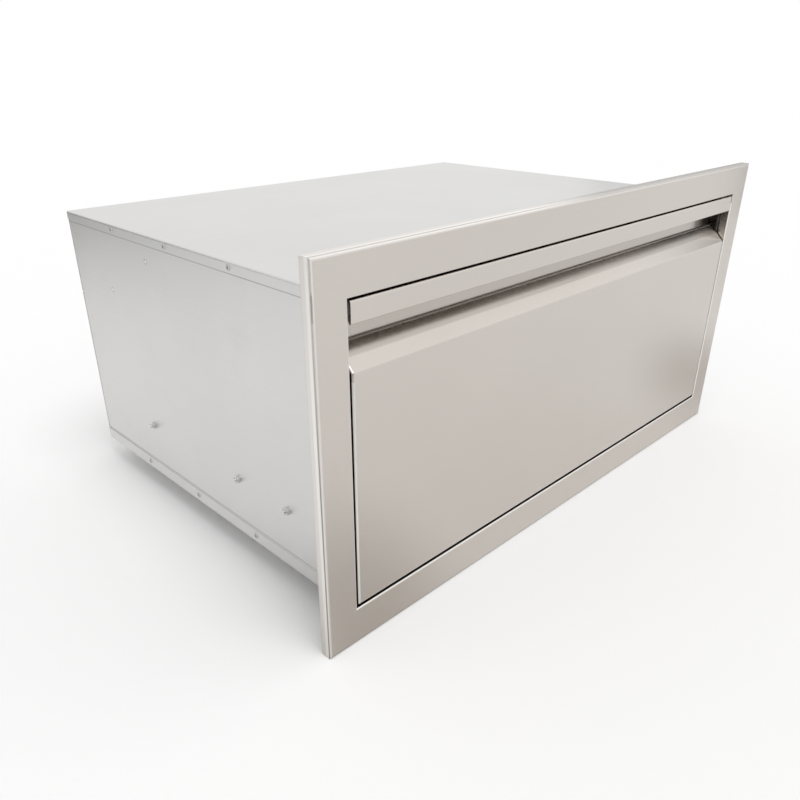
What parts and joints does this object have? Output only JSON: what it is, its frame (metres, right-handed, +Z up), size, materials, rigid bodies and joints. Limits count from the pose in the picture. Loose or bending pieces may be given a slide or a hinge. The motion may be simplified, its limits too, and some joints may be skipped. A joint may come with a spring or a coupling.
{
  "type": "outdoor kitchen drawer unit",
  "caption": "Built-in drawer for an outdoor kitchen island: galvanised casing, stainless trim frame and flush front with a full-width finger pull, on full-extension ball slides.",
  "frame": {"origin": "centre of the island's cut-out on the plane where the front flanges bear on the island, level with the underside of the casing", "axes": "+X to the right seen from the front, +Y to the back into the island, +Z up"},
  "size_m": [0.762, 0.5238, 0.3764],
  "materials": {
    "brushed_steel": "stainless sheet with a fine straight brushed grain",
    "galvanised_steel": "matt zinc-coated sheet with a faint spangle",
    "stainless_sheet": "plain mill-finish stainless sheet",
    "zinc_plated_steel": "bright zinc plating",
    "slide_steel": "zinc-plated rolled steel, lightly greased",
    "ball_steel": "polished steel balls",
    "black_plastic": "moulded matt black plastic",
    "black_rubber": "matt black rubber"
  },
  "bodies": {
    "casing": {"trim_frame": "brushed_steel", "casing_top_cover": "galvanised_steel", "casing_bottom_pan": "galvanised_steel", "casing_side_left": "galvanised_steel", "casing_side_right": "galvanised_steel", "casing_back_panel": "galvanised_steel", "casing_rivets": "zinc_plated_steel", "rear_bumpers": "black_rubber", "slide_nuts_left": "zinc_plated_steel", "slide_nuts_right": "zinc_plated_steel", "slide_screws_left": "zinc_plated_steel", "slide_screws_right": "zinc_plated_steel", "slide_outer_left": "slide_steel", "slide_outer_right": "slide_steel"},
    "drawer": {"drawer_front_panel": "brushed_steel", "handle_channel": "brushed_steel", "drawer_front_liner": "stainless_sheet", "tub_floor": "stainless_sheet", "tub_front_wall": "stainless_sheet", "tub_back_wall": "stainless_sheet", "tub_side_wall_left": "stainless_sheet", "tub_side_wall_right": "stainless_sheet", "front_screws": "zinc_plated_steel", "tub_screws_left": "zinc_plated_steel", "tub_screws_right": "zinc_plated_steel", "slide_inner_left": "slide_steel", "slide_inner_right": "slide_steel", "lever_pin_left": "zinc_plated_steel", "lever_pin_right": "zinc_plated_steel"},
    "middle_left": {"slide_middle_left": "slide_steel"},
    "outer_cage_left": {"outer_ball_cage_left": "slide_steel", "outer_balls_left": "ball_steel"},
    "inner_cage_left": {"inner_ball_cage_left": "slide_steel", "inner_balls_left": "ball_steel"},
    "lever_left": {"release_lever_left": "black_plastic"},
    "middle_right": {"slide_middle_right": "slide_steel"},
    "outer_cage_right": {"outer_ball_cage_right": "slide_steel", "outer_balls_right": "ball_steel"},
    "inner_cage_right": {"inner_ball_cage_right": "slide_steel", "inner_balls_right": "ball_steel"},
    "lever_right": {"release_lever_right": "black_plastic"}
  },
  "joints": [
    {"name": "drawer_slide", "type": "slide", "parent": "casing", "child": "drawer", "axis": [0, -1, 0], "range_m": [0, 0.45]},
    {"name": "middle_left_slide", "type": "slide", "parent": "casing", "child": "middle_left", "axis": [0, -1, 0], "range_m": [0, 0.225]},
    {"name": "outer_cage_left_slide", "type": "slide", "parent": "casing", "child": "outer_cage_left", "axis": [0, -1, 0], "range_m": [0, 0.1125]},
    {"name": "inner_cage_left_slide", "type": "slide", "parent": "casing", "child": "inner_cage_left", "axis": [0, -1, 0], "range_m": [0, 0.3375]},
    {"name": "lever_left_rock", "type": "hinge", "parent": "drawer", "child": "lever_left", "pos_m": [-0.3314, 0.3751, 0.0702], "axis": [1, 0, 0], "range_deg": [-4, 4], "stiffness_Nm_per_rad": 0.05},
    {"name": "middle_right_slide", "type": "slide", "parent": "casing", "child": "middle_right", "axis": [0, -1, 0], "range_m": [0, 0.225]},
    {"name": "outer_cage_right_slide", "type": "slide", "parent": "casing", "child": "outer_cage_right", "axis": [0, -1, 0], "range_m": [0, 0.1125]},
    {"name": "inner_cage_right_slide", "type": "slide", "parent": "casing", "child": "inner_cage_right", "axis": [0, -1, 0], "range_m": [0, 0.3375]},
    {"name": "lever_right_rock", "type": "hinge", "parent": "drawer", "child": "lever_right", "pos_m": [0.3314, 0.3751, 0.0702], "axis": [1, 0, 0], "range_deg": [-4, 4], "stiffness_Nm_per_rad": 0.05}
  ],
  "couplings": [
    {"joint": "middle_left_slide", "follows": "drawer_slide", "ratio": 0.5},
    {"joint": "outer_cage_left_slide", "follows": "drawer_slide", "ratio": 0.25},
    {"joint": "inner_cage_left_slide", "follows": "drawer_slide", "ratio": 0.75},
    {"joint": "middle_right_slide", "follows": "drawer_slide", "ratio": 0.5},
    {"joint": "outer_cage_right_slide", "follows": "drawer_slide", "ratio": 0.25},
    {"joint": "inner_cage_right_slide", "follows": "drawer_slide", "ratio": 0.75}
  ]
}
